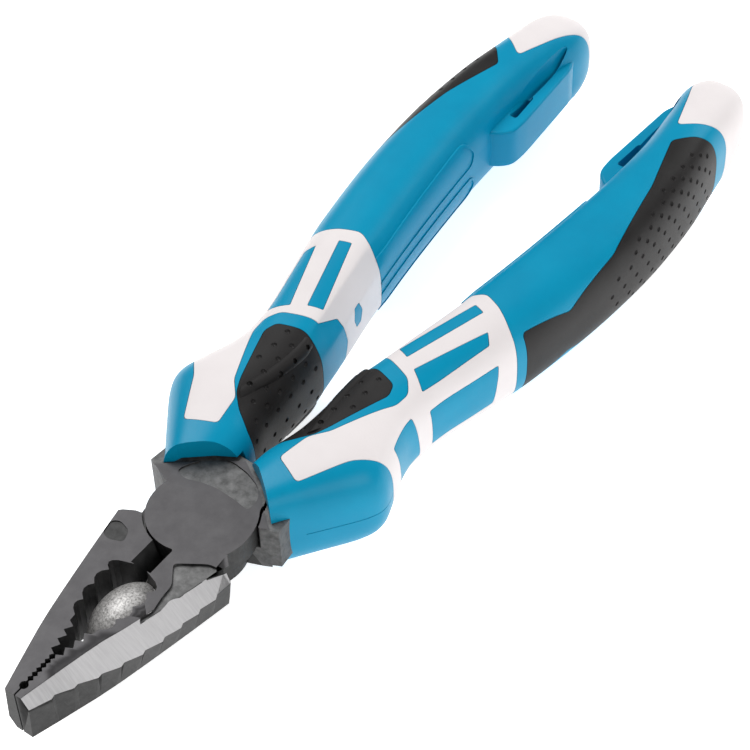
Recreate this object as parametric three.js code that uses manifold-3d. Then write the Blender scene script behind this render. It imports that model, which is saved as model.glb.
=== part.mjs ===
// Combination (lineman) pliers with a lap joint and four-component grips.
// Millimetres. X runs across the pliers, Y from the jaw tips (-Y) to the handle ends (+Y),
// Z is up through the thickness. Every function below works from the middle of the thickness;
// the assembly is then lowered so that its origin is the pivot, on the flat front joint face.
import * as THREE from 'three';
import { mergeVertices } from 'three/addons/utils/BufferGeometryUtils.js';
import Module from 'manifold-3d';

const wasm = await Module();
wasm.setup();

// ---- driving dimensions -------------------------------------------------------------------
const TIP_Y = -44;                // jaw tips, measured from the pivot
const END_Y = 141.5;              // free ends of the grips
const HALF = 5;                   // half of the head thickness
const GAP = 0.3;                  // running or assembly clearance between pieces
const PLATE_R = 8.4;              // round part of each joint plate
const PLATE_EDGE_R = 10.5;        // flank of each joint plate, beside the other lever's shoulder
const RELIEF = 0.4;               // clearance between a plate and the other lever's raised parts
const RIVET_R = 3.6;              // rivet shank
const RIVET_HEAD_R = 4.8;         // countersunk rivet head, flush with the back face
const RIVET_HEAD_H = 1.5;
const RIVET_TOP = 3.6;            // the shank ends blind below the front face
const TANG_HALF = 3.9;            // half thickness of the tangs inside the grips
const TANG_END_Y = 122;
const SAW_PITCH = 3.74;           // ribs on the outer flank of each jaw
const SAW_DEPTH = 0.5;
const COLLAR_T = 1.4;             // wall of the light collar
const PAD_T = 1.8;                // wall of the soft pads
const CAP_T = 2.0;                // wall of the end cap
const RING_STEPS = 16;            // points round a grip section
const SKIN = 3;                   // cutting tools reach this far past the skin
const NECK_STEP = 0.5;            // the steel is stepped down where the grips slide on

// ---- small helpers ------------------------------------------------------------------------
const point = (x, y) => new THREE.Vector2(x, y);
const radians = (degrees) => degrees * Math.PI / 180;

// A solid for cutting and joining, from a closed geometry.
function solid(geometry) {
  const bare = geometry.clone();
  bare.deleteAttribute('normal');
  bare.deleteAttribute('uv');
  const merged = mergeVertices(bare, 1e-4);
  return new wasm.Manifold(new wasm.Mesh({
    numProp: 3,
    vertProperties: new Float32Array(merged.attributes.position.array),
    triVerts: new Uint32Array(merged.index.array),
  }));
}

// The display geometry of a solid.
function shown(body) {
  const mesh = body.getMesh();
  const geometry = new THREE.BufferGeometry();
  geometry.setAttribute('position', new THREE.BufferAttribute(new Float32Array(mesh.vertProperties), 3));
  geometry.setIndex(new THREE.BufferAttribute(new Uint32Array(mesh.triVerts), 1));
  geometry.computeVertexNormals();
  return geometry;
}

// Mirrored copy, from the +X side to the -X side.
function mirrored(geometry) {
  const copy = geometry.clone();
  copy.scale(-1, 1, 1);
  const index = copy.index.array;
  for (let i = 0; i < index.length; i += 3) {
    [index[i], index[i + 1]] = [index[i + 1], index[i]];
  }
  return copy;
}

// Points of a circular arc about the pivot, angles in degrees from +X.
function arc(radius, from, to, steps) {
  const points = [];
  for (let i = 0; i <= steps; i += 1) {
    const angle = radians(from + (to - from) * i / steps);
    points.push(point(radius * Math.cos(angle), radius * Math.sin(angle)));
  }
  return points;
}

// Closed outline moved inwards by `distance`; a negative distance moves it outwards.
function inset(points, distance) {
  const turn = Math.sign(THREE.ShapeUtils.area(points));
  return points.map((here, i) => {
    const before = points[(i + points.length - 1) % points.length];
    const after = points[(i + 1) % points.length];
    const arriving = here.clone().sub(before).normalize();
    const leaving = after.clone().sub(here).normalize();
    const normalA = point(-arriving.y, arriving.x).multiplyScalar(turn);
    const normalB = point(-leaving.y, leaving.x).multiplyScalar(turn);
    const middle = normalA.clone().add(normalB).normalize();
    return here.clone().addScaledVector(middle, distance / Math.max(0.4, middle.dot(normalA)));
  });
}

// Outline with its corners rounded off by quadratic curves.
function rounded(points, radius) {
  const shape = new THREE.Shape();
  points.forEach((here, i) => {
    const before = points[(i + points.length - 1) % points.length];
    const after = points[(i + 1) % points.length];
    const reachIn = Math.min(radius, here.distanceTo(before) * 0.45);
    const reachOut = Math.min(radius, here.distanceTo(after) * 0.45);
    const enter = here.clone().lerp(before, reachIn / here.distanceTo(before));
    const leave = here.clone().lerp(after, reachOut / here.distanceTo(after));
    if (i === 0) shape.moveTo(enter.x, enter.y);
    else shape.lineTo(enter.x, enter.y);
    shape.quadraticCurveTo(here.x, here.y, leave.x, leave.y);
  });
  return shape;
}

// Upright prism over a plan outline.
function prism(shape, low, high, curveSegments = 2) {
  const outline = Array.isArray(shape) ? new THREE.Shape(shape) : shape;
  const geometry = new THREE.ExtrudeGeometry(outline, { depth: high - low, bevelEnabled: false, curveSegments });
  geometry.translate(0, 0, low);
  return solid(geometry);
}

// Prism along X over an outline given as (y, z).
function sidePrism(shape, low, high, curveSegments = 2) {
  const outline = Array.isArray(shape) ? new THREE.Shape(shape) : shape;
  const geometry = new THREE.ExtrudeGeometry(outline, { depth: high - low, bevelEnabled: false, curveSegments });
  geometry.applyMatrix4(new THREE.Matrix4().set(0, 0, 1, low, 1, 0, 0, 0, 0, 1, 0, 0, 0, 0, 0, 1));
  return solid(geometry);
}

// Closed loft through rings of equal length, listed from -Y to +Y.
function loft(rings) {
  const size = rings[0].length;
  const positions = rings.flat().flatMap((p) => [p.x, p.y, p.z]);
  const index = [];
  for (let r = 0; r < rings.length - 1; r += 1) {
    for (let i = 0; i < size; i += 1) {
      const a = r * size + i;
      const b = r * size + (i + 1) % size;
      index.push(a, a + size, b, b, a + size, b + size);
    }
  }
  const last = (rings.length - 1) * size;
  for (let i = 1; i < size - 1; i += 1) {
    index.push(0, i, i + 1);
    index.push(last, last + i + 1, last + i);
  }
  const geometry = new THREE.BufferGeometry();
  geometry.setAttribute('position', new THREE.Float32BufferAttribute(positions, 3));
  geometry.setIndex(index);
  return solid(geometry);
}

// Smooth function through [where, value] pairs.
function through(pairs) {
  const curve = new THREE.SplineCurve(pairs.map(([where, value]) => point(where, value)));
  return (where) => {
    let low = 0;
    let high = 1;
    for (let i = 0; i < 30; i += 1) {
      const middle = (low + high) / 2;
      if (curve.getPoint(middle).x < where) low = middle;
      else high = middle;
    }
    return curve.getPoint((low + high) / 2).y;
  };
}

// ---- jaws ---------------------------------------------------------------------------------
// The right jaw is described; the left one is the same forging turned over about the Y axis.
const frontEdge = through([[-46, 0.8], [TIP_Y, 1.3], [-30, 4.2], [-22, 6.5], [-3, 11.0]]);
const flank = through([[-46, 2.0], [TIP_Y, 2.6], [-38, 4.4], [-30, 7.8], [-22, 10.2], [-12, 11.8], [-3, 12.6]]);
const backEdge = through([[-46, 1.4], [TIP_Y, 2.0], [-37, 4.1], [-29, 6.3], [-15, 9.2], [-3, 11.4]]);
const flankHeight = through([[-46, 3.0], [TIP_Y, 2.9], [-30, 1.9], [-12, 1.8], [-3, 2.2]]);

// Block of one jaw: bevelled front edge, ribbed flank, undercut back.
function jawBlock() {
  const rings = [];
  const ring = (y, rib) => {
    const across = flank(y) + rib;
    rings.push([
      new THREE.Vector3(-1, y, -HALF),
      new THREE.Vector3(backEdge(y), y, -HALF),
      new THREE.Vector3(across, y, flankHeight(y)),
      new THREE.Vector3(frontEdge(y), y, HALF),
      new THREE.Vector3(-1, y, HALF),
    ]);
  };
  ring(TIP_Y, 0);
  for (let y = TIP_Y + SAW_PITCH; y < -8; y += SAW_PITCH) {
    ring(y, SAW_DEPTH / 2);
    ring(y + 0.9, -SAW_DEPTH / 2);
  }
  ring(-4, 0);
  return loft(rings);
}

// Gripping profile of a jaw, from the tip to the joint: distance from the middle plane.
function grippingProfile() {
  const profile = [point(0.15, TIP_Y - 1), point(0.15, -42.6)];
  for (let i = 0; i <= 6; i += 1) {
    const angle = radians(-70 + 140 * i / 6);
    profile.push(point(0.75 * Math.cos(angle), -41.8 + 0.75 * Math.sin(angle)));
  }
  for (let i = 0; i < 6; i += 1) {
    profile.push(point(0.15, -40.8 + i));
    profile.push(point(0.6, -40.3 + i));
  }
  for (let i = 0; i < 4; i += 1) {
    profile.push(point(0.2 + 0.32 * i, -34.7 + 1.9 * i));
    profile.push(point(1.3 + 0.36 * i, -34.1 + 1.9 * i));
  }
  const cusps = [point(2.5, -27.1), point(3.4, -24.1), point(4.0, -20.7), point(3.9, -17.2), point(3.9, -14.9)];
  cusps.slice(0, -1).forEach((cusp, i) => {
    const next = cusps[i + 1];
    const hollow = point((cusp.x + next.x) / 2 + 2.1, (cusp.y + next.y) / 2);
    profile.push(...new THREE.QuadraticBezierCurve(cusp, hollow, next).getPoints(4).slice(0, -1));
  });
  profile.push(point(3.9, -14.9), point(2.2, -13.6));
  return profile;
}

// The open side of the gripping profile, cut away from the jaw block.
function mouth() {
  const outline = [...grippingProfile(), point(2.2, -13.2), point(2.2, -6), point(-6, -6), point(-6, TIP_Y - 1)];
  const cutter = [[-6, 5.4], [2.2, 5.4], [0.15, 0.4], [0.15, -0.4], [2.2, -5.4], [-6, -5.4]];
  const blade = new THREE.ExtrudeGeometry(new THREE.Shape(cutter.map(([x, z]) => point(x, z))), {
    depth: 8,
    bevelEnabled: false,
  });
  blade.rotateX(Math.PI / 2);
  blade.translate(0, -6, 0);
  const gap = prism(outline.map((p) => (p.y > -13.7 && p.x > 1 ? point(0.15, p.y) : p)), -HALF - 1, HALF + 1);
  return gap.add(solid(blade));
}

// Convex web that half fills the pipe grip; only the front lever has it.
function gripWeb() {
  const ball = new THREE.SphereGeometry(1, 20, 12);
  ball.scale(5.2, 6.6, 4.9);
  ball.translate(1.9, -19.6, -1.4);
  const keep = prism([point(-8, -30), point(9, -30), point(9, -8), point(-8, -8)], -HALF, HALF);
  return solid(ball).intersect(keep);
}

// ---- levers -------------------------------------------------------------------------------
const shoulder = [point(-10.6, 3.3), point(-13.6, 4.7), point(-13.2, 8.4)];
const centre = through([[5, 9.6], [14, 9.6], [24, 12.2], [33, 11.4], [42, 11.6], [60, 15.4],
  [80, 18.4], [100, 19.9], [122, 19.0], [142, 18.2]]);

// Tang outline inside the left grip, down the outer side and back up the inner side.
function tangOutline() {
  const stops = [14, 24, 34, 44, 60, 76, 92, 108, TANG_END_Y];
  const half = (y) => 3.9 - 1.6 * (y - 14) / (TANG_END_Y - 14);
  const outer = stops.map((y) => point(-centre(y) - half(y), y));
  const inner = stops.map((y) => point(-centre(y) + half(y), y)).reverse();
  return { outer, inner };
}

// The steps on both faces of the steel, from just outside the mouths of the grips.
function neckSteps() {
  const side = [point(16, 1.2), point(13.6, 2.8), point(9.0, 6.6), point(4.4, 10.4), point(0, 13.2)];
  const outline = [...side, ...side.slice(0, -1).reverse().map((p) => point(-p.x, p.y)), point(-16, 18), point(16, 18)];
  const front = prism(outline, HALF - NECK_STEP, HALF + 1);
  const back = prism(outline, -HALF - 1, -HALF + NECK_STEP);
  return front.add(back);
}

// One lever: right jaw, front joint plate and the tang that crosses to the left grip.
function lever() {
  const tang = tangOutline();
  const plate = [
    ...arc(PLATE_R, -78, -196, 20),
    ...shoulder,
    ...tang.outer.slice(0, 1),
    ...tang.inner.slice(-1),
    point(-2.5, 14.0), point(1.5, 13.8), point(5.0, 12.4), point(7.5, 9.4),
    ...arc(PLATE_EDGE_R, 36, -22, 10),
    point(11.4, -5.6), point(10, -9.5),
    point(3.0, -9.5),
  ];
  const front = prism(plate, GAP / 2, HALF);
  const raised = prism([
    ...arc(PLATE_EDGE_R + RELIEF, 148, 162, 4),
    ...shoulder,
    ...tang.outer.slice(0, 1),
    ...tang.inner.slice(-1),
    point(-5.2, 13.4), point(-7.9, 9.8),
  ], -HALF, HALF);
  const stem = prism([...tang.outer, ...tang.inner], -TANG_HALF, TANG_HALF);
  const jaw = jawBlock().subtract(mouth());
  const clearOfPlate = prism([
    ...arc(PLATE_R + RELIEF, -140, -36, 16),
    point(10.9, -6.0), point(13.6, -6.9), point(16, -6.9), point(16, 2), point(-12, 2),
  ], -HALF - 1, HALF + 1);
  const rivetHole = new THREE.CylinderGeometry(RIVET_R + GAP, RIVET_R + GAP, RIVET_TOP + GAP + 1, 32);
  rivetHole.rotateX(Math.PI / 2);
  rivetHole.translate(0, 0, (RIVET_TOP + GAP - 1) / 2);
  const steel = jaw.subtract(clearOfPlate).add(front).add(raised).add(stem);
  return steel.subtract(neckSteps()).subtract(solid(rivetHole));
}

const frontLever = lever().add(gripWeb().intersect(prism(
  [point(-3.45, -30), point(8, -30), point(8, -8), point(-3.45, -8)], -HALF, HALF)));

function rearLever() {
  const turned = shown(lever());
  turned.rotateY(Math.PI);
  const shank = new THREE.CylinderGeometry(RIVET_R + GAP, RIVET_R + GAP, 2 * HALF, 32);
  const seat = new THREE.CylinderGeometry(RIVET_R + GAP, RIVET_HEAD_R + GAP, RIVET_HEAD_H + GAP, 32);
  shank.rotateX(Math.PI / 2);
  shank.translate(0, 0, -HALF);
  seat.rotateX(Math.PI / 2);
  seat.translate(0, 0, -HALF + (RIVET_HEAD_H + GAP) / 2);
  return solid(turned).subtract(solid(shank)).subtract(solid(seat));
}

function rivet() {
  const profile = [[0, -HALF], [RIVET_HEAD_R, -HALF], [RIVET_R, -HALF + RIVET_HEAD_H],
    [RIVET_R, RIVET_TOP], [0, RIVET_TOP]];
  const geometry = new THREE.LatheGeometry(profile.map(([r, z]) => point(r, z)), 32);
  geometry.rotateX(Math.PI / 2);
  return geometry;
}

// ---- grips --------------------------------------------------------------------------------
// The right grip is described; the left one is its mirror image.
const outerEdge = through([[2, 10.5], [5, 11.6], [8, 13.6], [12.5, 17.0], [18.5, 21.3], [22, 22.4], [26, 21.2],
  [31.5, 19.2], [36, 18.5], [43, 19.2], [51, 21.2], [60, 23.4], [67, 24.8], [79, 26.6], [90, 27.6],
  [101, 27.9], [113, 27.2], [123, 25.8], [130, 25.0], [END_Y + 2, 24.0]]);
const innerEdge = through([[2, 0.9], [14, 0.9], [18, 1.5], [24, 2.8], [32, 3.4], [40, 3.9], [48, 5.3], [57, 7.1],
  [67, 8.9], [80, 10.7], [96, 12.4], [106, 13.0], [116, 13.2], [126, 12.2], [133, 11.0], [END_Y + 2, 10.4]]);
const halfHeight = through([[2, 8.6], [14, 9.6], [22, 9.9], [36, 9.5], [50, 9.7], [70, 10.1], [90, 10.3],
  [115, 10.3], [130, 9.9], [END_Y + 2, 9.3]]);
const CAP_START_Y = 127;          // the end of the grip starts to round off here

// Rounding of the free end: 1 along the grip, 0 at the very end.
function endScale(y) {
  const along = Math.max(0, (y - CAP_START_Y) / (END_Y - CAP_START_Y));
  return Math.max(0.02, 1 - along ** 3.2) ** (1 / 2.4);
}

// Section of the grip at y, moved inwards by `depth`: a squared-off ellipse.
function gripRing(y, depth) {
  const scale = endScale(y);
  const middle = (innerEdge(y) + outerEdge(y)) / 2;
  const wide = (outerEdge(y) - innerEdge(y)) / 2 * scale - depth;
  const high = halfHeight(y) * scale - depth;
  const ring = [];
  for (let i = 0; i < RING_STEPS; i += 1) {
    const angle = 2 * Math.PI * i / RING_STEPS;
    const side = Math.cos(angle);
    const up = Math.sin(angle);
    ring.push(new THREE.Vector3(
      middle + wide * Math.sign(side) * Math.abs(side) ** 0.75,
      y,
      high * Math.sign(up) * Math.abs(up) ** 0.75,
    ));
  }
  return ring;
}

const STATIONS = [2, 8, 14, 18, 22, 26, 31, 37, 44, 52, 62, 74, 88, 102, 115, 126, 131, 135.5, 138.5, 140.5, END_Y];

// Whole grip form at a depth below the skin, without the lanyard loop.
function gripForm(depth) {
  const stops = STATIONS.filter((y) => y < END_Y - depth - 0.3);
  if (depth <= 0) stops.push(END_Y);
  else stops.push(END_Y - depth);
  return loft(stops.map((y) => gripRing(Math.min(y, END_Y), Math.min(depth, 4))));
}

// Everything on the head side of the slanted mouth of the grip.
const headSide = prism([point(-10, -5), point(30, -5), point(30, 1), point(13.5, 3.6), point(9.4, 7.2),
  point(4.8, 11.0), point(-1, 14.4), point(-10, 18)], -20, 20);

// Lanyard loop on the inner side: a strap with a slot through it.
function lanyardLoop() {
  const outline = [point(14.5, 103.5), point(11.4, 105.2), point(9.6, 107.2), point(9.4, 111), point(10.0, 120),
    point(10.6, 129), point(12.5, 133), point(16, 133), point(16, 103.5)];
  const slot = [point(11.3, 110.5), point(13.0, 110.5), point(13.3, 117.5), point(11.8, 117.5)];
  return {
    strap: prism(rounded(outline, 1.6), -4, 4, 3),
    slot: prism(rounded(slot, 0.7), -20, 20, 3),
  };
}

// Plan outlines of the outer components, on the right grip.
const collarOutline = [point(6.5, 14.3), point(11.9, 11.8), point(16.6, 20.4), point(21, 25.5), point(32, 26),
  point(32, 57.5), point(20.6, 57.5), point(19.4, 60.2), point(17.0, 63.2), point(13.6, 64.2), point(10.8, 63.2),
  point(2, 60.5), point(2, 43.2), point(7.8, 42.8), point(13.6, 40.6), point(15.4, 38.2), point(15.2, 35.0),
  point(10.2, 23.4), point(7.6, 20.5)];
const stripes = [
  [point(8.2, 45.6), point(10.7, 44.4), point(15.6, 60.2), point(13.4, 61.0)],
  [point(13.3, 42.8), point(16.6, 40.6), point(20.0, 55.6), point(18.6, 57.2)],
];
const sideWindows = [
  [point(30.5, -4.4), point(37.4, -4.4), point(35.6, 4.4), point(29.0, 4.4)],
  [point(40.6, -4.4), point(54.4, -4.4), point(55.6, 4.4), point(40.2, 4.4)],
];
const fingerOutline = [point(-2, 17.0), point(2.5, 17.2), point(5.6, 18.9), point(8.2, 21.4), point(9.5, 24.2),
  point(13.3, 35.6), point(12.5, 38.0), point(7.9, 39.6), point(-2, 39.0)];
const palmOutline = [point(22.4, 62.0), point(25.3, 73.2), point(25.5, 86.6), point(22.8, 103.9), point(19.4, 116.2),
  point(22.2, 119.8), point(25.0, 122.6), point(32, 124.5), point(32, 61.5)];
const capOutline = [point(17.8, 120.6), point(22.4, 124.4), point(26, 128.2), point(32, 130), point(32, 150),
  point(0, 150), point(0, 139.6), point(10.4, 139.0), point(12.6, 136.2), point(15.2, 129.0)];

// A shell of the grip form inside a plan outline.
function skinPiece(outline, thickness, corner) {
  const shell = gripForm(0).subtract(gripForm(thickness));
  return shell.intersect(prism(rounded(inset(outline, GAP / 2), corner), -20, 20, 2)).subtract(headSide);
}

// The pocket in the core that the same shell sits in.
function skinPocket(outline, thickness, corner) {
  const past = gripForm(-SKIN).subtract(gripForm(thickness + GAP));
  return past.intersect(prism(rounded(inset(outline, -GAP / 2), corner), -20, 20, 2));
}

function stripePrism(outline, change) {
  return prism(rounded(inset(outline, change), 0.5), -20, 20, 2);
}

function windowPrism(outline, change) {
  return sidePrism(rounded(inset(outline, change), 0.8), 12, 40, 2);
}

function collar() {
  let piece = skinPiece(collarOutline, COLLAR_T, 1.2);
  stripes.forEach((outline) => { piece = piece.subtract(stripePrism(outline, -GAP / 2)); });
  sideWindows.forEach((outline) => { piece = piece.subtract(windowPrism(outline, -GAP / 2)); });
  return piece;
}

function collarPocket() {
  let pocket = skinPocket(collarOutline, COLLAR_T, 1.2);
  stripes.forEach((outline) => { pocket = pocket.subtract(stripePrism(outline, GAP / 2)); });
  sideWindows.forEach((outline) => { pocket = pocket.subtract(windowPrism(outline, GAP / 2)); });
  return pocket;
}

// Room for the steel inside the grip: the right tang and shoulder with clearance.
function tangRoom() {
  const tang = tangOutline();
  const right = [...tang.outer, ...tang.inner].map((p) => point(-p.x, p.y));
  const neck = [...shoulder, tang.outer[0], tang.inner[tang.inner.length - 1], point(-5.2, 13.4),
    point(-7.9, 9.8), point(-9.4, 5)].map((p) => point(-p.x, p.y));
  const stem = prism(inset(right, -GAP), -TANG_HALF - GAP, TANG_HALF + GAP);
  return stem.add(prism(inset(neck, -GAP), -HALF - GAP, HALF + GAP));
}

// Room for the plate of the other lever under the mouth of the grip.
function plateRoom() {
  const top = [point(-9, 4), point(11, 4), point(9, 9.6), point(7.4, 14.4), point(-9, 14.8)];
  return prism(top, -HALF - GAP, HALF + GAP);
}

function core() {
  const loop = lanyardLoop();
  let piece = gripForm(0).subtract(headSide).add(loop.strap).subtract(loop.slot);
  piece = piece.subtract(collarPocket());
  piece = piece.subtract(skinPocket(fingerOutline, PAD_T, 1.4));
  piece = piece.subtract(skinPocket(palmOutline, PAD_T, 1.4));
  piece = piece.subtract(skinPocket(capOutline, CAP_T, 1.2));
  return piece.subtract(tangRoom()).subtract(plateRoom());
}

// ---- assembly -----------------------------------------------------------------------------
const BLACK_STEEL = { color: 0x565457, roughness: 0.45, metalness: 0.9 };
const BLUE = { color: 0x008bb0, roughness: 0.4, metalness: 0 };
const WHITE = { color: 0xe3dcdc, roughness: 0.5, metalness: 0 };
const BLACK = { color: 0x2b2a2a, roughness: 0.55, metalness: 0 };

const tool = new THREE.Group();
tool.position.z = -HALF;

function add(name, geometry, look) {
  const mesh = new THREE.Mesh(geometry, new THREE.MeshStandardMaterial(look));
  mesh.name = name;
  tool.add(mesh);
}

add('front_lever', shown(frontLever), BLACK_STEEL);
add('rear_lever', shown(rearLever()), BLACK_STEEL);
add('pivot_rivet', rivet(), BLACK_STEEL);

const gripPieces = [
  ['grip_core', shown(core()), BLUE],
  ['collar', shown(collar()), WHITE],
  ['finger_pad', shown(skinPiece(fingerOutline, PAD_T, 1.4)), BLACK],
  ['palm_pad', shown(skinPiece(palmOutline, PAD_T, 1.4)), BLACK],
  ['end_cap', shown(skinPiece(capOutline, CAP_T, 1.2)), WHITE],
];
gripPieces.forEach(([name, geometry, look]) => {
  add(`right_${name}`, geometry, look);
  add(`left_${name}`, mirrored(geometry), look);
});

const pliers = new THREE.Group();
pliers.add(tool);

export default pliers;
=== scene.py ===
"""Combination pliers: the visual model and its studio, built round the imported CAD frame."""
import math

import bmesh
import bpy
import numpy as np
from mathutils import Matrix, Vector
from mathutils.bvhtree import BVHTree


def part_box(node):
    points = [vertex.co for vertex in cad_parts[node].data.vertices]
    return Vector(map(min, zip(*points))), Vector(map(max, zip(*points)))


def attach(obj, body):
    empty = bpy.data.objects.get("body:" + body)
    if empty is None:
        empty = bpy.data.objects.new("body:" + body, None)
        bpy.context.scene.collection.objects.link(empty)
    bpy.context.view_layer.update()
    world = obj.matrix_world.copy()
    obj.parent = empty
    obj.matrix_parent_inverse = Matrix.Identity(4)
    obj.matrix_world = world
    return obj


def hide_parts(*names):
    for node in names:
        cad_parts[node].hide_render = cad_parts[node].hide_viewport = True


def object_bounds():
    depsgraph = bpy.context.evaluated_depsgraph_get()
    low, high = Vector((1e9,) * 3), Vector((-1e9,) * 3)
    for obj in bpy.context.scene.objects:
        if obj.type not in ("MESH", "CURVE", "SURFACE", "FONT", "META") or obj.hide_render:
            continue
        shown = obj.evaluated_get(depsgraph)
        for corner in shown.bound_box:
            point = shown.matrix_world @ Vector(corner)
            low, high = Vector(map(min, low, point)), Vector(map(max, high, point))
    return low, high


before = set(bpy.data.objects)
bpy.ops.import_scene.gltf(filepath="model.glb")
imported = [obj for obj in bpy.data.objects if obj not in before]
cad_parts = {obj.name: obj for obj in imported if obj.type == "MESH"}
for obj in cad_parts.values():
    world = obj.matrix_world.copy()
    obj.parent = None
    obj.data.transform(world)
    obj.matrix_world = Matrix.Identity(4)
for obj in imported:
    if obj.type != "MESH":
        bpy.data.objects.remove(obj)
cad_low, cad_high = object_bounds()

MM = 0.001
STEEL_LOW, STEEL_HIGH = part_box("front_lever")
MID_Z = (STEEL_LOW.z + STEEL_HIGH.z) / 2 / MM      # middle of the thickness, in mm
TIP_Y = STEEL_LOW.y / MM                           # jaw tips
END_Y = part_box("right_end_cap")[1].y / MM          # free ends of the grips
HALF = (STEEL_HIGH.z - STEEL_LOW.z) / 2 / MM       # half of the head thickness
SEAM = 0.1                                         # visible joint line between two grip components
COLLAR_T, PAD_T, CAP_T = 1.4, 1.8, 2.0             # walls of the outer grip components
PAD_CORNER, CAP_CORNER = 0.9, 1.2                  # corner radii of the outer grip components
SQUARENESS = 0.75                                  # power of the grip section; 1 would be an ellipse
TALL = 20                                          # reaches past the grip in front and behind
RING_STEPS = 112
STATION_STEP = 0.7
FACE, GROUND, FORGED, BLASTED, HOLLOW = range(5)   # steel finishes, in the order of their material slots


# ---- camera, floor and light --------------------------------------------------------------
def make_camera():
    azimuth, elevation, roll = math.radians(37.93), math.radians(47.65), math.radians(-2.23)
    target = Vector((3.35, 44.77, MID_Z)) * MM
    distance = 405.3 * MM
    back = Vector((
        math.sin(azimuth) * math.cos(elevation),
        -math.cos(azimuth) * math.cos(elevation),
        math.sin(elevation),
    ))
    level = Vector((math.cos(azimuth), math.sin(azimuth), 0))
    upright = back.cross(level)
    right = math.cos(roll) * level + math.sin(roll) * upright
    up = -math.sin(roll) * level + math.cos(roll) * upright
    data = bpy.data.cameras.new("camera")
    data.sensor_width = 36
    data.lens = 111.3
    data.clip_start = 0.01
    camera = bpy.data.objects.new("camera", data)
    bpy.context.scene.collection.objects.link(camera)
    camera.matrix_world = Matrix((
        (right.x, up.x, back.x, 0),
        (right.y, up.y, back.y, 0),
        (right.z, up.z, back.z, 0),
        (0, 0, 0, 1),
    ))
    camera.location = target + back * distance
    bpy.context.scene.camera = camera


def area_light(name, place, aim, size, power):
    data = bpy.data.lights.new(name, "AREA")
    data.shape = "RECTANGLE"
    data.size, data.size_y = size
    data.energy = power
    light = bpy.data.objects.new(name, data)
    bpy.context.scene.collection.objects.link(light)
    light.location = place
    light.rotation_mode = "QUATERNION"
    light.rotation_quaternion = (Vector(aim) - Vector(place)).to_track_quat("-Z", "Y")


def make_studio():
    world = bpy.data.worlds.new("studio")
    world.use_nodes = True
    background = world.node_tree.nodes["Background"]
    background.inputs["Color"].default_value = (1, 1, 1, 1)
    background.inputs["Strength"].default_value = 0.2
    bpy.context.scene.world = world
    bpy.context.scene.view_settings.view_transform = "Standard"
    middle = (0.0, 0.05, 0.0)
    area_light("key", (-0.35, 0.15, 0.6), middle, (0.35, 0.5), 4.0)
    area_light("fill", (0.6, -0.1, 0.35), middle, (0.5, 0.4), 2.0)
    area_light("rim", (0.1, 0.7, 0.35), middle, (0.5, 0.25), 1.4)
    floor_z = cad_low.z - 0.2 * MM
    bpy.ops.mesh.primitive_grid_add(x_subdivisions=2, y_subdivisions=2, size=6, location=(0, 0, floor_z))
    floor = bpy.context.object
    floor.name = "floor"
    floor.data.materials.append(plain_floor())


def plain_floor():
    material, _, _, shader = new_material("floor_white")
    shader.inputs["Base Color"].default_value = (0.93, 0.93, 0.93, 1)
    shader.inputs["Roughness"].default_value = 0.9
    shader.inputs["Emission Color"].default_value = (1, 1, 1, 1)
    shader.inputs["Emission Strength"].default_value = 0.75
    return material


# ---- materials ----------------------------------------------------------------------------
def new_material(name):
    material = bpy.data.materials.new(name)
    material.use_nodes = True
    nodes, links = material.node_tree.nodes, material.node_tree.links
    return material, nodes, links, nodes["Principled BSDF"]


def object_coordinates(nodes, links, scale=(1, 1, 1)):
    place = nodes.new("ShaderNodeTexCoord")
    mapping = nodes.new("ShaderNodeMapping")
    mapping.inputs["Scale"].default_value = scale
    links.new(place.outputs["Object"], mapping.inputs["Vector"])
    return mapping.outputs["Vector"]


def noise(nodes, links, vector, scale, detail=4, roughness=0.6):
    texture = nodes.new("ShaderNodeTexNoise")
    texture.inputs["Scale"].default_value = scale
    texture.inputs["Detail"].default_value = detail
    texture.inputs["Roughness"].default_value = roughness
    links.new(vector, texture.inputs["Vector"])
    return texture.outputs["Fac"]


def ramp(nodes, links, factor, stops):
    node = nodes.new("ShaderNodeValToRGB")
    elements = node.color_ramp.elements
    while len(elements) < len(stops):
        elements.new(0.5)
    for element, (position, color) in zip(elements, stops):
        element.position = position
        element.color = (*color, 1)
    links.new(factor, node.inputs["Fac"])
    return node.outputs["Color"]


def level(nodes, links, factor, low, high):
    node = nodes.new("ShaderNodeMapRange")
    node.inputs["To Min"].default_value = low
    node.inputs["To Max"].default_value = high
    links.new(factor, node.inputs["Value"])
    return node.outputs["Result"]


def bump(nodes, links, shader, heights):
    """Stacked bumps: (height output, depth in metres, strength)."""
    normal = None
    for height, depth, strength in heights:
        node = nodes.new("ShaderNodeBump")
        node.inputs["Distance"].default_value = depth
        node.inputs["Strength"].default_value = strength
        links.new(height, node.inputs["Height"])
        if normal is not None:
            links.new(normal, node.inputs["Normal"])
        normal = node.outputs["Normal"]
    links.new(normal, shader.inputs["Normal"])


def moulded(name, dark, light, rough, grain_scale, grain_depth):
    """Satin moulded plastic or elastomer: faint mottling and a fine eroded grain."""
    material, nodes, links, shader = new_material(name)
    vector = object_coordinates(nodes, links)
    broad = noise(nodes, links, vector, 90, 3)
    fine = noise(nodes, links, vector, grain_scale, 2)
    links.new(ramp(nodes, links, broad, [(0.3, dark), (0.7, light)]), shader.inputs["Base Color"])
    links.new(level(nodes, links, fine, rough - 0.06, rough + 0.08), shader.inputs["Roughness"])
    shader.inputs["Specular IOR Level"].default_value = 0.16
    bump(nodes, links, shader, [(fine, grain_depth, 0.6)])
    return material


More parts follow.
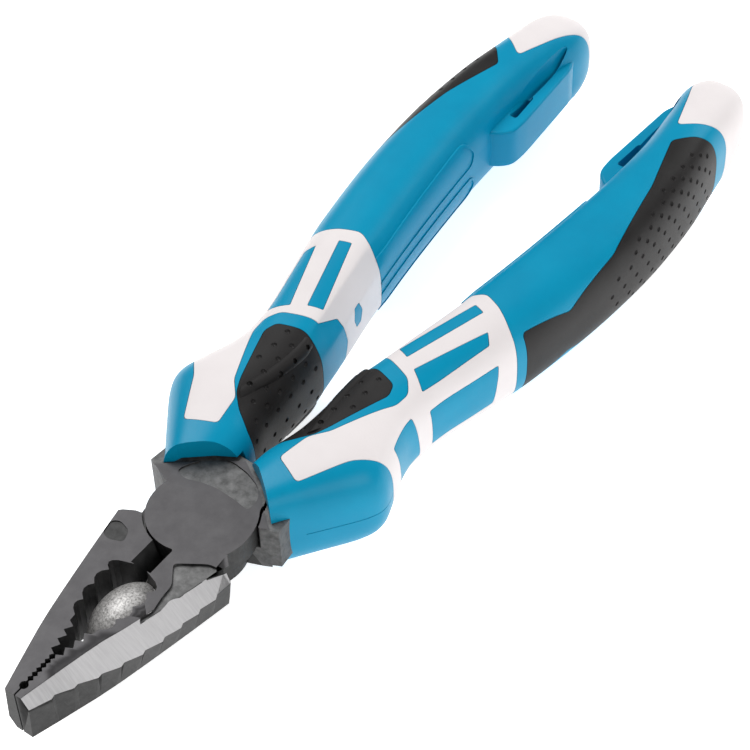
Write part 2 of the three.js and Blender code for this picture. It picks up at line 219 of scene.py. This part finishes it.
def black_oxide():
    """Finely ground, blackened steel."""
    material, nodes, links, shader = new_material("steel_face")
    lines = noise(nodes, links, object_coordinates(nodes, links, (9, 1, 1)), 900, 4)
    cloud = noise(nodes, links, object_coordinates(nodes, links), 260, 5)
    links.new(ramp(nodes, links, cloud, [(0.3, (0.050, 0.048, 0.051)), (0.7, (0.072, 0.070, 0.073))]),
              shader.inputs["Base Color"])
    shader.inputs["Metallic"].default_value = 0.55
    links.new(level(nodes, links, lines, 0.42, 0.58), shader.inputs["Roughness"])
    bump(nodes, links, shader, [(lines, 0.00001, 0.3), (cloud, 0.00002, 0.2)])
    return material


def ground_bevel():
    """Bright ground steel with lines across the bevel."""
    material, nodes, links, shader = new_material("steel_ground")
    lines = noise(nodes, links, object_coordinates(nodes, links, (1, 14, 1)), 260, 5)
    links.new(ramp(nodes, links, lines, [(0.3, (0.34, 0.335, 0.34)), (0.7, (0.44, 0.435, 0.44))]),
              shader.inputs["Base Color"])
    shader.inputs["Metallic"].default_value = 0.7
    links.new(level(nodes, links, lines, 0.38, 0.55), shader.inputs["Roughness"])
    bump(nodes, links, shader, [(lines, 0.00002, 0.35)])
    return material


def forged(name, dark, light):
    """Rough forging skin on the flanks and in the recesses."""
    material, nodes, links, shader = new_material(name)
    vector = object_coordinates(nodes, links)
    coarse = noise(nodes, links, vector, 700, 5)
    fine = noise(nodes, links, vector, 3500, 3)
    links.new(ramp(nodes, links, coarse, [(0.3, (dark,) * 3), (0.75, (light,) * 3)]),
              shader.inputs["Base Color"])
    shader.inputs["Metallic"].default_value = 0.5
    links.new(level(nodes, links, fine, 0.42, 0.62), shader.inputs["Roughness"])
    bump(nodes, links, shader, [(coarse, 0.00006, 0.4), (fine, 0.00002, 0.4)])
    return material


def blasted():
    """Light shot-blasted steel of the web in the pipe grip."""
    material, nodes, links, shader = new_material("steel_blasted")
    vector = object_coordinates(nodes, links)
    grains = noise(nodes, links, vector, 2600, 3, 0.7)
    patches = noise(nodes, links, vector, 420, 3)
    links.new(ramp(nodes, links, grains, [(0.35, (0.20, 0.195, 0.19)), (0.6, (0.56, 0.55, 0.54))]),
              shader.inputs["Base Color"])
    shader.inputs["Metallic"].default_value = 0.5
    links.new(level(nodes, links, patches, 0.4, 0.6), shader.inputs["Roughness"])
    bump(nodes, links, shader, [(grains, 0.00008, 0.6)])
    return material


BLUE = moulded("grip_blue", (0.000, 0.255, 0.435), (0.000, 0.285, 0.475), 0.34, 2600, 0.00002)
WHITE = moulded("grip_light", (0.76, 0.715, 0.715), (0.80, 0.755, 0.755), 0.48, 2600, 0.00002)
BLACK = moulded("grip_black", (0.014, 0.013, 0.013), (0.024, 0.023, 0.023), 0.42, 3200, 0.00003)
STEEL_FACE, STEEL_GROUND, STEEL_BLASTED = black_oxide(), ground_bevel(), blasted()
STEEL_FORGED = forged("steel_forged", 0.018, 0.042)
STEEL_POCKET = forged("steel_pocket", 0.05, 0.15)


# ---- curves and outlines, in millimetres --------------------------------------------------
def through(*pairs):
    """Smooth function through (where, value) pairs, as the CAD's spline curves run."""
    points = np.array(pairs, float)
    padded = np.vstack([points[:1], points, points[-1:]])
    t = np.linspace(0, 1, 24, endpoint=False)[:, None]
    parts = []
    for a, b, c, d in zip(padded[:-3], padded[1:-2], padded[2:-1], padded[3:]):
        into, out = (c - a) / 2, (d - b) / 2
        cubic = 2 * b - 2 * c + into + out
        square = -3 * b + 3 * c - 2 * into - out
        parts.append(cubic * t ** 3 + square * t ** 2 + into * t + b)
    curve = np.vstack(parts + [points[-1:]])
    return lambda where: float(np.interp(where, curve[:, 0], curve[:, 1]))


outer_edge = through(
    (2, 10.5), (5, 11.6), (8, 13.6), (12.5, 17.0), (18.5, 21.3), (22, 22.4), (26, 21.2), (31.5, 19.2),
    (36, 18.5), (43, 19.2), (51, 21.2), (60, 23.4), (67, 24.8), (79, 26.6), (90, 27.6), (101, 27.9),
    (113, 27.2), (123, 25.8), (130, 25.0), (END_Y + 2, 24.0),
)
inner_edge = through(
    (2, 0.9), (14, 0.9), (18, 1.5), (24, 2.8), (32, 3.4), (40, 3.9), (48, 5.3), (57, 7.1), (67, 8.9),
    (80, 10.7), (96, 12.4), (106, 13.0), (116, 13.2), (126, 12.2), (133, 11.0), (END_Y + 2, 10.4),
)
half_height = through(
    (2, 8.6), (14, 9.6), (22, 9.9), (36, 9.5), (50, 9.7), (70, 10.1), (90, 10.3), (115, 10.3),
    (130, 9.9), (END_Y + 2, 9.3),
)
CAP_START_Y = 127

# Plan outlines are (x, y) on the right grip and the right jaw, apart from these: SIDE_WINDOWS,
# INNER_WINDOW, INNER_DOT and PANEL are (y, z), BAND crosses the joint, HEEL and PATCH are on the left jaw.
# MOUTH is the head side that the grips leave free, PLATE_ROOM the room for the joint plates in them.
MOUTH = [(-10, -5), (30, -5), (30, 1), (13.5, 3.6), (9.4, 7.2), (4.8, 11.0), (-1, 14.4), (-10, 18)]
PLATE_ROOM = [(-9, 4), (11, 4), (9, 9.6), (7.4, 14.4), (-9, 14.8)]
COLLAR = [
    (6.5, 14.3), (11.9, 11.8), (16.6, 20.4), (21, 25.5), (32, 26), (32, 58.2), (26, 58.6), (21, 60.4),
    (17.0, 62.8), (13.6, 64.2), (10.8, 63.2), (2, 60.5), (2, 43.2), (7.8, 42.8), (13.6, 40.6),
    (15.4, 38.2), (15.2, 35.0), (10.2, 23.4), (7.6, 20.5),
]
STRIPES = [
    [(8.2, 45.6), (10.7, 44.4), (15.6, 60.2), (13.4, 61.0)],
    [(13.3, 42.8), (16.6, 40.6), (20.0, 55.6), (18.6, 57.2)],
]
SIDE_WINDOWS = [
    [(30.5, -4.4), (37.4, -4.4), (36.0, 6.0), (28.8, 6.0)],
    [(40.6, -4.4), (54.4, -4.4), (55.6, 4.4), (40.2, 4.4)],
]
FINGER = [
    (-2, 17.0), (2.5, 17.2), (5.6, 18.9), (8.2, 21.4), (9.5, 24.2), (13.3, 35.6), (12.5, 38.0),
    (7.9, 39.6), (-2, 39.0),
]
PALM = [
    (22.4, 62.0), (25.3, 73.2), (25.5, 86.6), (22.8, 103.9), (19.4, 116.2), (22.2, 119.8),
    (25.0, 122.6), (32, 124.5), (32, 61.5),
]
CAP = [
    (17.8, 120.6), (22.4, 124.4), (26, 128.2), (32, 130), (32, 150), (0, 150), (0, 139.6),
    (10.4, 139.0), (12.6, 136.2), (15.2, 129.0),
]
LOOP = [
    (14.5, 103.5), (11.4, 105.2), (9.6, 107.2), (9.4, 111), (10.0, 120), (10.6, 129), (12.5, 133),
    (16, 133), (16, 103.5),
]
LOOP_SLOT = [(11.3, 110.5), (13.0, 110.5), (13.3, 117.5), (11.8, 117.5)]
LOOP_HALF = 4.4
DIMPLE_R, DIMPLE_LIFT, DIMPLE_SETBACK = 0.58, 0.22, 1.9
INNER_WINDOW = [(36, -9), (41.6, -9), (47.4, -6), (48.6, 0), (47.4, 6), (41.6, 9), (36, 9)]
INNER_DOT = [(51.6, 2.1), (52.3, 4.3), (54.0, 4.3), (54.8, 2.1), (54.0, -0.1), (52.3, -0.1)]
PANEL = [(60, 1.2), (61.5, 6.6), (96, 7.6), (99, 4.2), (97.5, 1.2)]
PAD_RIDGE = [(6.9, 40.0), (6.4, 37.0), (6.4, 33.4), (6.8, 28.5), (7.6, 24.2), (8.1, 21.0), (8.3, 17.5)]
POCKET = [
    (3.9, -10.5), (4.4, -9.9), (8.5, -7.2), (10.3, -6.9), (11.4, -11.3), (9.6, -13.2), (8.0, -16.2),
    (7.9, -19.2), (8.3, -21.6), (7.3, -22.6), (6.4, -21.9), (7.2, -19.6), (6.6, -16.6), (6.4, -13.9),
]
BAND = [
    (-8.3, 5.1), (-7.4, 7.5), (-5.0, 10.4), (-1.9, 11.9), (1.7, 11.4), (4.8, 10.2), (6.8, 7.9),
    (6.8, 5.1), (3.9, 5.6), (-0.2, 5.9), (-3.3, 5.4), (-6.0, 4.4),
]
HEEL = [
    (-14, -10.5), (-12.4, -10.5), (-11.9, -8.8), (-11.2, -7.5), (-10.2, -6.5), (-9.0, -5.8),
    (-8.0, -5.3), (-8.0, -4.5), (-14, -4.5),
]
PATCH = [(-10.2, -9.3), (-8.9, -8.5), (-6.4, -9.3), (-5.6, -11.6), (-8.2, -12.6), (-9.8, -12.0)]


def turn_of(outline):
    """1 for an outline that runs anticlockwise, -1 for a clockwise one."""
    points = np.array(outline, float)
    x, y = points[:, 0], points[:, 1]
    return 1 if np.sum(x * np.roll(y, -1) - np.roll(x, -1) * y) > 0 else -1


def inset(outline, distance):
    """Closed outline moved inwards; a negative distance moves it outwards."""
    points = [Vector(p) for p in outline]
    turn = turn_of(outline)
    moved = []
    for i, here in enumerate(points):
        arriving = (here - points[i - 1]).normalized()
        leaving = (points[(i + 1) % len(points)] - here).normalized()
        side = Vector((-arriving.y, arriving.x)) * turn
        middle = (side + Vector((-leaving.y, leaving.x)) * turn).normalized()
        moved.append(tuple(here + middle * distance / max(0.4, middle.dot(side))))
    return moved


def rounded(outline, radius, steps=6):
    """Outline with its corners rounded off by quadratic curves."""
    points = [Vector(p) for p in outline]
    result = []
    for i, here in enumerate(points):
        before, after = points[i - 1], points[(i + 1) % len(points)]
        enter = here.lerp(before, min(radius / (here - before).length, 0.45))
        leave = here.lerp(after, min(radius / (here - after).length, 0.45))
        for step in range(steps + 1):
            t = step / steps
            result.append(tuple(enter * (1 - t) ** 2 + here * (2 * t * (1 - t)) + leave * t ** 2))
    return result


# ---- mesh building ------------------------------------------------------------------------
def make_object(name, points, faces):
    """An object from points in millimetres round the middle of the thickness."""
    mesh = bpy.data.meshes.new(name)
    shift = np.array([0, 0, MID_Z])
    mesh.from_pydata(((np.array(points, float) + shift) * MM).tolist(), [], faces)
    mesh.validate()
    thing = bpy.data.objects.new(name, mesh)
    bpy.context.scene.collection.objects.link(thing)
    return thing


def prism(outline, low, high, across=False):
    """Closed prism over a plan outline, or along X over a (y, z) outline."""
    outline = list(outline) if turn_of(outline) > 0 else list(outline)[::-1]
    count = len(outline)
    if across:
        points = [(low, *p) for p in outline] + [(high, *p) for p in outline]
    else:
        points = [(*p, low) for p in outline] + [(*p, high) for p in outline]
    faces = [tuple(range(count))[::-1], tuple(range(count, 2 * count))]
    faces += [(i, (i + 1) % count, (i + 1) % count + count, i + count) for i in range(count)]
    return make_object("tool", points, faces)


def loft(rings):
    """Closed loft through rings of equal length."""
    size = len(rings[0])
    points = [p for ring in rings for p in ring]
    faces = [tuple(range(size)), tuple(range((len(rings) - 1) * size, len(rings) * size))[::-1]]
    for r in range(len(rings) - 1):
        for i in range(size):
            a, b = r * size + i, r * size + (i + 1) % size
            faces.append((a, a + size, b + size, b))
    return make_object("tool", points, faces)


def combine(thing, tool, how):
    """Boolean applied to `thing`; the tool is used up."""
    modifier = thing.modifiers.new("combine", "BOOLEAN")
    modifier.operation = how
    modifier.solver = "MANIFOLD"
    modifier.object = tool
    apply_modifiers(thing)
    discard(tool)
    return thing


def apply_modifiers(thing):
    bpy.context.view_layer.update()
    graph = bpy.context.evaluated_depsgraph_get()
    mesh = bpy.data.meshes.new_from_object(thing.evaluated_get(graph))
    thing.modifiers.clear()
    old, thing.data = thing.data, mesh
    bpy.data.meshes.remove(old)


def discard(thing):
    mesh = thing.data
    bpy.data.objects.remove(thing)
    bpy.data.meshes.remove(mesh)


def copy_of(thing):
    twin = thing.copy()
    twin.data = thing.data.copy()
    bpy.context.scene.collection.objects.link(twin)
    return twin


# ---- grips --------------------------------------------------------------------------------
def end_scale(y):
    """How far the section has shrunk at y, towards the rounded free end."""
    along = max(0.0, (y - CAP_START_Y) / (END_Y - CAP_START_Y))
    return max(0.004, 1 - along ** 3.2) ** (1 / 2.4)


def grip_ring(y, depth):
    """Section of the right grip at y, moved inwards by `depth`."""
    scale = end_scale(min(y, END_Y))
    middle = (inner_edge(y) + outer_edge(y)) / 2
    wide = max(0.1, (outer_edge(y) - inner_edge(y)) / 2 * scale - depth)
    high = max(0.1, half_height(y) * scale - depth)
    angle = np.linspace(0, 2 * np.pi, RING_STEPS, endpoint=False)
    side, up = np.cos(angle), np.sin(angle)
    x = middle + wide * np.sign(side) * np.abs(side) ** SQUARENESS
    z = high * np.sign(up) * np.abs(up) ** SQUARENESS
    return facet(np.stack([x, np.full_like(x, y), z], 1), y, depth)


def facet(ring, y, depth):
    """Flattens the two inner shoulders beside the collar, which leaves a crease along its face."""
    amount = np.clip((y - 38) / 5, 0, 1) * np.clip((66 - y) / 5, 0, 1)
    if amount <= 0:
        return ring
    crease = inner_edge(y) + 2.9
    for face in (1, -1):
        outward = np.array([-0.86, 0, 0.51 * face])
        start = np.array([crease, y, 0.885 * half_height(y) * face])
        beyond = (ring - start) @ outward + depth
        ring = ring - np.outer(np.maximum(beyond, 0) * amount, outward)
    return ring


def grip_form(depth):
    """The whole grip at a depth below its skin; a negative depth lies outside the skin."""
    end = END_Y - max(depth, 0)
    stops = list(np.arange(2, CAP_START_Y, STATION_STEP))
    stops += list(CAP_START_Y + (end - CAP_START_Y) * np.sin(np.linspace(0, np.pi / 2, 26)))
    return loft([grip_ring(y, depth) for y in stops])


def skin_piece(outline, thickness, corner, skin):
    """A shell of the grip inside a plan outline."""
    piece = copy_of(skin)
    combine(piece, grip_form(thickness), "DIFFERENCE")
    combine(piece, prism(rounded(inset(outline, SEAM / 2), corner), -TALL, TALL), "INTERSECT")
    return combine(piece, prism(MOUTH, -TALL, TALL), "DIFFERENCE")


def skin_point(x, y, sink=0.0):
    """Point on the front skin of the right grip above a plan position, sunk along Z."""
    middle = (inner_edge(y) + outer_edge(y)) / 2
    across = min(0.999, abs(x - middle) / ((outer_edge(y) - inner_edge(y)) / 2))
    return (x, y, half_height(y) * (1 - across ** (2 / SQUARENESS)) ** (SQUARENESS / 2) - sink)


def skin_direction(y, angle, lift=0.0):
    """Point on the skin at an angle round the section, lifted off it."""
    middle = (inner_edge(y) + outer_edge(y)) / 2
    side, up = math.cos(angle), math.sin(angle)
    wide = (outer_edge(y) - inner_edge(y)) / 2 * math.copysign(abs(side) ** SQUARENESS, side)
    high = half_height(y) * math.copysign(abs(up) ** SQUARENESS, up)
    return (middle + wide + lift * side, y, high + lift * up)


def inside(outline, x, y):
    """Whether a plan point lies within an outline."""
    points = list(outline)
    within = False
    for (ax, ay), (bx, by) in zip(points, points[1:] + points[:1]):
        if (ay > y) != (by > y) and x < (bx - ax) * (y - ay) / (by - ay) + ax:
            within = not within
    return within


def balls(places, radius):
    """Separate small spheres in one mesh, for cutting dimples."""
    build = bmesh.new()
    for place in places:
        move = Matrix.Translation(Vector(place))
        bmesh.ops.create_icosphere(build, subdivisions=2, radius=radius, matrix=move)
    points = [tuple(v.co) for v in build.verts]
    build.verts.index_update()
    faces = [tuple(v.index for v in f.verts) for f in build.faces]
    build.free()
    return make_object("tool", points, faces)


def dimples(outline, stations, angles, margin):
    """Tools for dimples at angles (degrees) round the section, every other column set back."""
    room = inset(outline, margin)
    places = []
    for y in stations:
        for column, angle in enumerate(angles):
            at = y + (DIMPLE_SETBACK if column % 2 else 0.0)
            place = skin_direction(at, math.radians(angle), DIMPLE_LIFT)
            if inside(room, place[0], at):
                places.append(place)
    return balls(places, DIMPLE_R)


def pad_ridge(face):
    """Soft raised ridge on the finger pad, along its front (1) or back (-1) shoulder."""
    smooth = through(*[(-y, x) for x, y in PAD_RIDGE])
    rings = []
    for y in np.linspace(18.0, 40.0, 44):
        x, _, z = skin_point(smooth(-y), y, 1.1)
        size = 1.45 * min(1, 0.75 + (y - 18) / 16, 0.85 + (40 - y) / 20)
        turn = np.linspace(0, 2 * np.pi, 20, endpoint=False)
        rings.append([(x + size * math.cos(a), y, (z + size * math.sin(a)) * face) for a in turn])
    if face < 0:
        rings = [ring[::-1] for ring in rings]
    return loft([np.array(ring) for ring in rings])


def raised_panel():
    """Thin raised outline on the inner shoulders of the grip, front and back."""
    shell = grip_form(-0.22)
    combine(shell, grip_form(0.6), "DIFFERENCE")
    frames = []
    for face in (1, -1):
        outline = [(y, z * face) for y, z in PANEL]
        frame_line = prism(rounded(outline, 1.6), -5, 17, across=True)
        combine(frame_line, prism(rounded(inset(outline, 0.45), 1.3), -6, 18, across=True), "DIFFERENCE")
        frames.append(frame_line)
    combine(frames[0], frames[1], "UNION")
    return combine(shell, frames[0], "INTERSECT")


def ellipsoid(centre, radii, steps=32):
    """Closed ellipsoid, for the dome and for scooping beside the loops."""
    build = bmesh.new()
    shape = Matrix.Translation(Vector(centre)) @ Matrix.Diagonal((*radii, 1))
    bmesh.ops.create_uvsphere(build, u_segments=steps * 2, v_segments=steps, radius=1, matrix=shape)
    build.verts.index_update()
    points = [tuple(v.co) for v in build.verts]
    faces = [tuple(v.index for v in f.verts) for f in build.faces]
    build.free()
    return make_object("tool", points, faces)


def skin_pocket(outline, thickness, corner):
    """The pocket in the core that such a shell sits in."""
    pocket = grip_form(-3)
    combine(pocket, grip_form(thickness), "DIFFERENCE")
    return combine(pocket, prism(rounded(inset(outline, -SEAM / 2), corner), -TALL, TALL), "INTERSECT")


def cut_windows(thing, change):
    for outline in STRIPES:
        combine(thing, prism(rounded(inset(outline, change), 0.3), -TALL, TALL), "DIFFERENCE")
    for outline in SIDE_WINDOWS:
        combine(thing, prism(rounded(inset(outline, change), 0.5), 12, 40, across=True), "DIFFERENCE")
    for outline in (INNER_WINDOW, INNER_DOT):
        combine(thing, prism(rounded(inset(outline, change), 0.3), -5, 8.6, across=True), "DIFFERENCE")
    return thing


def lanyard_loop():
    strap = prism(rounded(LOOP, 1.6), -LOOP_HALF, LOOP_HALF)
    modifier = strap.modifiers.new("round", "BEVEL")
    modifier.width = 1.9 * MM
    modifier.segments = 6
    modifier.limit_method = "ANGLE"
    modifier.angle_limit = math.radians(50)
    apply_modifiers(strap)
    return strap


def parting_line():
    """Fine mould line round the outer side of the guard."""
    groove = grip_form(-1)
    combine(groove, grip_form(0.12), "DIFFERENCE")
    band = [(15, 2.5), (32, 2.5), (32, 26.5), (15, 26.5)]
    return combine(groove, prism(band, -0.35, -0.2), "INTERSECT")


def grip_core(skin):
    core = copy_of(skin)
    combine(core, prism(MOUTH, -TALL, TALL), "DIFFERENCE")
    combine(core, lanyard_loop(), "UNION")
    combine(core, prism(rounded(LOOP_SLOT, 0.7), -TALL, TALL), "DIFFERENCE")
    for face in (1, -1):
        combine(core, ellipsoid((12.9, 119.0, 7.4 * face), (1.0, 11.5, 4.4)), "DIFFERENCE")
    combine(core, raised_panel(), "UNION")
    combine(core, parting_line(), "DIFFERENCE")
    combine(core, cut_windows(skin_pocket(COLLAR, COLLAR_T, PAD_CORNER), SEAM / 2), "DIFFERENCE")
    combine(core, skin_pocket(FINGER, PAD_T, PAD_CORNER), "DIFFERENCE")
    combine(core, skin_pocket(PALM, PAD_T, PAD_CORNER), "DIFFERENCE")
    combine(core, skin_pocket(CAP, CAP_T, CAP_CORNER), "DIFFERENCE")
    return combine(core, prism(PLATE_ROOM, -HALF - 0.3, HALF + 0.3), "DIFFERENCE")


def smooth_like(thing, skin_tree, skin_normals, limit=0.03):
    """Gives the faces that lie on the grip's skin the skin's own smooth normals."""
    mesh = thing.data
    mesh.shade_smooth()
    mesh.set_sharp_from_angle(angle=math.radians(35))
    normals = [n.vector.copy() for n in mesh.corner_normals]
    for polygon in mesh.polygons:
        _, normal, _, distance = skin_tree.find_nearest(polygon.center)
        on_skin = distance is not None and distance < limit * MM and normal.dot(polygon.normal) > 0.9
        for loop in polygon.loop_indices:
            if on_skin:
                vertex = mesh.vertices[mesh.loops[loop].vertex_index].co
                near, _, face, _ = skin_tree.find_nearest(vertex)
                normals[loop] = skin_normals(near, face)
    mesh.normals_split_custom_set([tuple(n) for n in normals])


def normals_of(skin):
    """Lookup of the skin's smooth normal at a point on one of its faces."""
    mesh = skin.data
    corner_normals = [v.normal.copy() for v in mesh.vertices]

    def at(place, face):
        total = Vector((0, 0, 0))
        for index in mesh.polygons[face].vertices:
            gap = (mesh.vertices[index].co - place).length + 1e-6
            total += corner_normals[index] / gap ** 2
        return total.normalized()

    return at


def mirrored_copy(thing, name):
    twin = copy_of(thing)
    twin.name = name
    mesh = twin.data
    loop_normals = [Vector(n.vector) for n in mesh.corner_normals]
    mesh.transform(Matrix.Diagonal((-1, 1, 1, 1)))
    mesh.flip_normals()
    flipped = []
    for polygon in mesh.polygons:
        loops = list(polygon.loop_indices)
        order = [loops[0]] + loops[:0:-1]
        flipped += [loop_normals[k] for k in order]
    mesh.normals_split_custom_set([(-n.x, n.y, n.z) for n in flipped])
    return twin


def build_grips():
    skin = grip_form(0)
    tree = BVHTree.FromObject(skin, bpy.context.evaluated_depsgraph_get())
    lookup = normals_of(skin)
    collar = cut_windows(skin_piece(COLLAR, COLLAR_T, PAD_CORNER, skin), -SEAM / 2)
    finger_pad = skin_piece(FINGER, PAD_T, PAD_CORNER, skin)
    for face in (1, -1):
        ridge = pad_ridge(face)
        room = prism(rounded(inset(FINGER, 0.6), PAD_CORNER), -TALL, TALL)
        combine(finger_pad, combine(ridge, room, "INTERSECT"), "UNION")
    finger_holes = dimples(FINGER, np.arange(18.5, 38, 3.8), range(96, 270, 17), 1.3)
    palm_pad = skin_piece(PALM, PAD_T, PAD_CORNER, skin)
    palm_holes = dimples(PALM, np.arange(64, 122, 3.7), range(-60, 61, 12), 1.9)
    pieces = [
        ("grip_core", grip_core(skin), BLUE, "grip_blue"),
        ("collar", collar, WHITE, "grip_light"),
        ("finger_pad", combine(finger_pad, finger_holes, "DIFFERENCE"), BLACK, "grip_black"),
        ("palm_pad", combine(palm_pad, palm_holes, "DIFFERENCE"), BLACK, "grip_black"),
        ("end_cap", skin_piece(CAP, CAP_T, CAP_CORNER, skin), WHITE, "grip_light"),
    ]
    for name, piece, material, slot in pieces:
        piece.name = "right_" + name + "_skin"
        piece.data.materials.clear()
        piece.data.materials.append(material)
        smooth_like(piece, tree, lookup)
        twin = mirrored_copy(piece, "left_" + name + "_skin")
        for thing, side, body in ((piece, "right_", "rear_half"), (twin, "left_", "front_half")):
            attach(thing, body)
            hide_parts(side + name)
    discard(skin)


# ---- steel --------------------------------------------------------------------------------
front_edge = through((-46, 0.8), (TIP_Y, 1.3), (-30, 4.2), (-22, 6.5), (-3, 11.0))
flank = through((-46, 2.0), (TIP_Y, 2.6), (-38, 4.4), (-30, 7.8), (-22, 10.2), (-12, 11.8), (-3, 12.6))
flank_height = through((-46, 3.0), (TIP_Y, 2.9), (-30, 1.9), (-12, 1.8), (-3, 2.2))
# The dome is larger than the CAD's, and cuts a little into the edge of the rear lever's jaw root.
DOME_CENTRE, DOME_RADII = (1.9, -20.4, -1.2), (5.6, 7.6, 5.5)
BEVEL_CLEAR = 0.3                # the bevel's outer line lies this far inside the flank's middle line
LEVEL = 0.97                     # Z of its normal above which a face counts as facing front or back
BROAD_AREA = 0.25 * MM * MM      # faces larger than this shade flat


def turned(thing, over):
    """The right jaw's tools, turned over about Y for the left jaw."""
    if over:
        thing.data.transform(Matrix.Translation((0, 0, MID_Z * MM)) @ Matrix.Rotation(math.pi, 4, "Y")
                             @ Matrix.Translation((0, 0, -MID_Z * MM)))
    return thing


def bevel_cutter():
    """Everything in front of the jaw's ground bevel, just deep enough to clear the ribs."""
    rings = []
    for y in np.linspace(TIP_Y - 1, -6.6, 60):
        edge = np.array([front_edge(y) - 0.08, HALF])
        side = np.array([flank(y) - BEVEL_CLEAR, flank_height(y)])
        along = side - edge
        start, end = edge - along * 0.05, edge + along * 1.6
        ring = [start, end, (end[0] + 2, 9), (start[0], 9)]
        rings.append(np.array([(x, y, z) for x, z in ring])[::-1])
    return loft(rings)


def recess(outline, depth, corner):
    """Tool for a shallow hollow in the front face of the steel."""
    return prism(rounded(outline, corner), HALF - depth, HALF + 1)


def lever_copy(node, name, front):
    """A lever's CAD solid with the finer cuts of the forging added."""
    thing = bpy.data.objects.new(name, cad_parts[node].data.copy())
    thing.data.name = name
    bpy.context.scene.collection.objects.link(thing)
    weld(thing, 0.002 * MM)
    combine(thing, turned(bevel_cutter(), not front), "DIFFERENCE")
    if front:
        dome = ellipsoid(DOME_CENTRE, DOME_RADII, 48)
        keep = prism([(-8, -30), (9, -30), (9, -8), (-8, -8)], -HALF, HALF)
        combine(thing, combine(dome, keep, "INTERSECT"), "UNION")
        combine(thing, recess(POCKET, 0.5, 0.7), "DIFFERENCE")
        combine(thing, recess(BAND, 0.3, 1.0), "DIFFERENCE")
    else:
        combine(thing, recess(PATCH, 0.2, 0.8), "DIFFERENCE")
        combine(thing, prism(HEEL, -1, HALF + 1), "DIFFERENCE")
    weld(thing, 0.004 * MM)
    thing.data.materials.clear()
    return thing


def weld(thing, gap):
    build = bmesh.new()
    build.from_mesh(thing.data)
    bmesh.ops.remove_doubles(build, verts=build.verts, dist=gap)
    build.to_mesh(thing.data)
    build.free()


def steel_kind(place, normal, front):
    """Which steel finish a face has, from where it lies and how it faces."""
    x, y, z = place
    from_dome = math.sqrt(sum(((p - c) / r) ** 2 for p, c, r in zip(place, DOME_CENTRE, DOME_RADII)))
    if front and abs(from_dome - 1) < 0.03 and -29 < y < -12 and x < 6:
        return BLASTED
    if front and normal.z > LEVEL and HALF - 0.6 < z < HALF - 0.1:
        return HOLLOW
    if abs(normal.z) > LEVEL and abs(z) > HALF - 0.1:
        return FACE
    side, height, up = (x, z, normal.z) if front else (-x, -z, -normal.z)
    if y < -6 and 0.3 < up < LEVEL and side > front_edge(y) - 0.4 and height > flank_height(y) - 0.8:
        return GROUND
    if y > -7 and side < -9:
        return HOLLOW
    return FORGED


def paint_steel(thing, front):
    mesh = thing.data
    for material in (STEEL_FACE, STEEL_GROUND, STEEL_FORGED, STEEL_BLASTED, STEEL_POCKET):
        mesh.materials.append(material)
    for polygon in mesh.polygons:
        place = polygon.center / MM - Vector((0, 0, MID_Z))
        polygon.material_index = steel_kind(place, polygon.normal, front)


def bevel_normal(y, front):
    """Normal of the ground bevel at y, the same right across it."""
    across, down = flank(y) - BEVEL_CLEAR - front_edge(y), flank_height(y) - HALF
    taper = (front_edge(y + 1) - front_edge(y - 1)) / 2
    normal = Vector((-down, down * taper, across)).normalized()
    return normal if front else Vector((-normal.x, normal.y, -normal.z))


def keep_flat(thing, front):
    """Machined faces shade flat; the dome and the narrow faces of the curved rims shade smooth."""
    mesh = thing.data
    mesh.shade_smooth()
    mesh.set_sharp_from_angle(angle=math.radians(32))
    normals = [n.vector.copy() for n in mesh.corner_normals]
    for polygon in mesh.polygons:
        facing = abs(polygon.normal.z) > LEVEL
        for loop in polygon.loop_indices:
            if polygon.material_index == GROUND:
                y = mesh.vertices[mesh.loops[loop].vertex_index].co.y / MM
                normals[loop] = bevel_normal(y, front)
            elif polygon.material_index != BLASTED and (facing or polygon.area > BROAD_AREA):
                normals[loop] = polygon.normal
    mesh.normals_split_custom_set([tuple(n) for n in normals])


def build_steel():
    for node, body, front in (("front_lever", "front_half", True), ("rear_lever", "rear_half", False)):
        lever = lever_copy(node, node + "_steel", front)
        paint_steel(lever, front)
        keep_flat(lever, front)
        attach(lever, body)
        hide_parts(node)
    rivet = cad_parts["pivot_rivet"]
    rivet.data.materials.clear()
    rivet.data.materials.append(STEEL_FACE)


make_camera()
make_studio()
build_grips()
build_steel()
